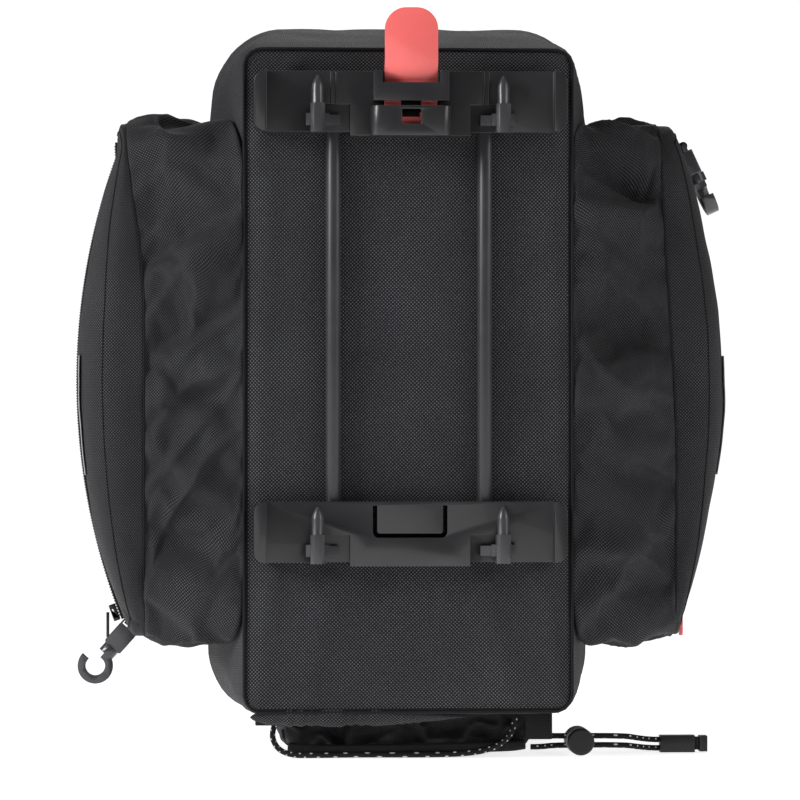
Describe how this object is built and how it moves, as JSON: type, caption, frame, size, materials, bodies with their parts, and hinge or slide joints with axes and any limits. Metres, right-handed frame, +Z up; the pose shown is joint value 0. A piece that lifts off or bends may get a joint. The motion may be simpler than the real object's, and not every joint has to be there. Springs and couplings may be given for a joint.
{
  "type": "bicycle rack-top bag",
  "caption": "Soft rack-top bag with zipped lid and fold-out side bags, on a click-on rack adapter with pegs and a sprung release lever; stands on its rear pocket.",
  "frame": {"origin": "on the floor under the middle of the bag, in the face of the rear pocket that it stands on", "axes": "+Z up to the bag's front end, +Y to the lid, -Y to the base and its rack adapter, +X to the right seen from the base"},
  "size_m": [0.3523, 0.2645, 0.3875],
  "materials": {
    "body_fabric": "diagonal-dot woven polyester, foam backed",
    "bag_fabric": "diagonal-dot woven polyester",
    "board": "plain sheet",
    "foam": "closed-cell foam",
    "zip": "coil zip on tape",
    "adapter_plastic": "fine moulded grain",
    "peg_plastic": "satin moulded",
    "rod_metal": "satin dark grey",
    "lever_red": "satin red",
    "steel": "bright",
    "webbing": "ribbed webbing",
    "elastic": "braided elastic with light flecks",
    "hook_plastic": "moulded",
    "lock_barrel": "grey moulded",
    "lock_button": "moulded",
    "pull_red": "red moulded",
    "pull_black": "moulded"
  },
  "bodies": {
    "root": {"base_panel": "body_fabric", "base_board": "board", "front_wall": "body_fabric", "rear_wall": "body_fabric", "left_wall": "body_fabric", "right_wall": "body_fabric", "body_zip_tape": "zip", "left_bag_gusset": "bag_fabric", "right_bag_gusset": "bag_fabric", "front_plate": "adapter_plastic", "rear_plate": "adapter_plastic", "rod_left": "rod_metal", "rod_right": "rod_metal", "peg_front_left": "peg_plastic", "peg_front_right": "peg_plastic", "peg_rear_left": "peg_plastic", "peg_rear_right": "peg_plastic", "plate_screws": "steel", "plate_washers": "steel", "latch_yoke": "adapter_plastic", "latch_housing": "adapter_plastic", "lever_pin": "steel", "lever_spring": "steel", "ring_tab_front": "webbing", "ring_tab_rear": "webbing", "rear_pocket": "body_fabric", "webbing_loop_left": "webbing", "webbing_loop_right": "webbing", "pocket_drawcord": "elastic", "elastic_strand_upper": "elastic", "elastic_strand_lower": "elastic", "elastic_end_hook": "hook_plastic"},
    "lid": {"lid_shell": "body_fabric", "lid_zip_tape": "zip", "lid_foam_board": "foam", "carry_handle": "webbing", "handle_patches": "webbing"},
    "release_lever": {"release_lever": "lever_red"},
    "main_slider_left": {"main_slider_left": "pull_black"},
    "main_pull_left": {"main_pull_left": "pull_black"},
    "main_slider_right": {"main_slider_right": "pull_black"},
    "main_pull_right": {"main_pull_right": "pull_black"},
    "ring_front": {"d_ring_front": "steel"},
    "ring_rear": {"d_ring_rear": "steel"},
    "cord_lock": {"cord_lock_barrel": "lock_barrel", "cord_lock_spring": "steel"},
    "cord_lock_button": {"cord_lock_button": "lock_button"},
    "left_bag": {"left_bag_panel": "bag_fabric", "left_bag_zip": "zip", "left_strap_loop": "webbing"},
    "left_bag_slider": {"left_bag_slider": "pull_black"},
    "left_bag_pull": {"left_bag_pull": "pull_red"},
    "left_strap": {"left_strap_hook": "hook_plastic"},
    "right_bag": {"right_bag_panel": "bag_fabric", "right_bag_zip": "zip", "right_strap_loop": "webbing"},
    "right_bag_slider": {"right_bag_slider": "pull_black"},
    "right_bag_pull": {"right_bag_pull": "pull_red"},
    "right_strap": {"right_strap_hook": "hook_plastic"}
  },
  "joints": [
    {"name": "lid_hinge", "type": "hinge", "parent": "root", "child": "lid", "pos_m": [0, 0.0782, 0.3784], "axis": [1, 0, 0], "range_deg": [0, 110]},
    {"name": "lever_hinge", "type": "hinge", "parent": "root", "child": "release_lever", "pos_m": [0, -0.1232, 0.3446], "axis": [1, 0, 0], "range_deg": [0, 16], "stiffness_Nm_per_rad": 0.3, "springref_deg": -8.59, "deforming": ["lever_spring"]},
    {"name": "left_bag_fold", "type": "slide", "parent": "root", "child": "left_bag", "axis": [1, 0, 0], "range_m": [0, 0.035], "deforming": ["left_bag_gusset"]},
    {"name": "left_bag_zip_run", "type": "hinge", "parent": "left_bag", "child": "left_bag_slider", "pos_m": [0.18307, 0.008, 0.197], "axis": [0, 1, 0], "range_deg": [0, 41]},
    {"name": "left_bag_pull_swing", "type": "hinge", "parent": "left_bag_slider", "child": "left_bag_pull", "pos_m": [-0.15579, 0.008, 0.0703], "axis": [0, 1, 0], "range_deg": [0, 100]},
    {"name": "right_bag_fold", "type": "slide", "parent": "root", "child": "right_bag", "axis": [-1, 0, 0], "range_m": [0, 0.035], "deforming": ["right_bag_gusset"]},
    {"name": "right_bag_zip_run", "type": "hinge", "parent": "right_bag", "child": "right_bag_slider", "pos_m": [-0.18307, 0.008, 0.197], "axis": [0, -1, 0], "range_deg": [0, 41]},
    {"name": "right_bag_pull_swing", "type": "hinge", "parent": "right_bag_slider", "child": "right_bag_pull", "pos_m": [0.15579, 0.008, 0.0703], "axis": [0, -1, 0], "range_deg": [0, 100]},
    {"name": "left_strap_swing", "type": "hinge", "parent": "left_bag", "child": "left_strap", "pos_m": [-0.1425, 0.0685, 0.062], "axis": [0.7431, 0, -0.6691], "range_deg": [0, 60]},
    {"name": "right_strap_swing", "type": "hinge", "parent": "right_bag", "child": "right_strap", "pos_m": [0.1595, 0.03, 0.326], "axis": [0, -1, 0], "range_deg": [0, 60]},
    {"name": "main_slider_left_run", "type": "slide", "parent": "root", "child": "main_slider_left", "axis": [-1, 0, 0], "range_m": [0, 0.053]},
    {"name": "main_pull_left_swing", "type": "hinge", "parent": "main_slider_left", "child": "main_pull_left", "pos_m": [-0.0062, 0.0782, 0.0161], "axis": [0, 1, 0], "range_deg": [0, 80]},
    {"name": "main_slider_right_run", "type": "slide", "parent": "root", "child": "main_slider_right", "axis": [1, 0, 0], "range_m": [0, 0.053]},
    {"name": "main_pull_right_swing", "type": "hinge", "parent": "main_slider_right", "child": "main_pull_right", "pos_m": [0.0062, 0.0782, 0.0161], "axis": [0, -1, 0], "range_deg": [0, 80]},
    {"name": "ring_front_swing", "type": "hinge", "parent": "root", "child": "ring_front", "pos_m": [0, 0.04, 0.3849], "axis": [1, 0, 0], "range_deg": [0, 150]},
    {"name": "ring_rear_swing", "type": "hinge", "parent": "root", "child": "ring_rear", "pos_m": [0, 0.058, 0.0176], "axis": [1, 0, 0], "range_deg": [-60, 45]},
    {"name": "cord_lock_run", "type": "slide", "parent": "root", "child": "cord_lock", "axis": [1, 0, 0], "range_m": [0, 0.011]},
    {"name": "cord_lock_press", "type": "slide", "parent": "cord_lock", "child": "cord_lock_button", "axis": [0, 1, 0], "range_m": [0, 0.003], "stiffness_N_per_m": 700, "springref_m": -0.003, "deforming": ["cord_lock_spring"]}
  ]
}
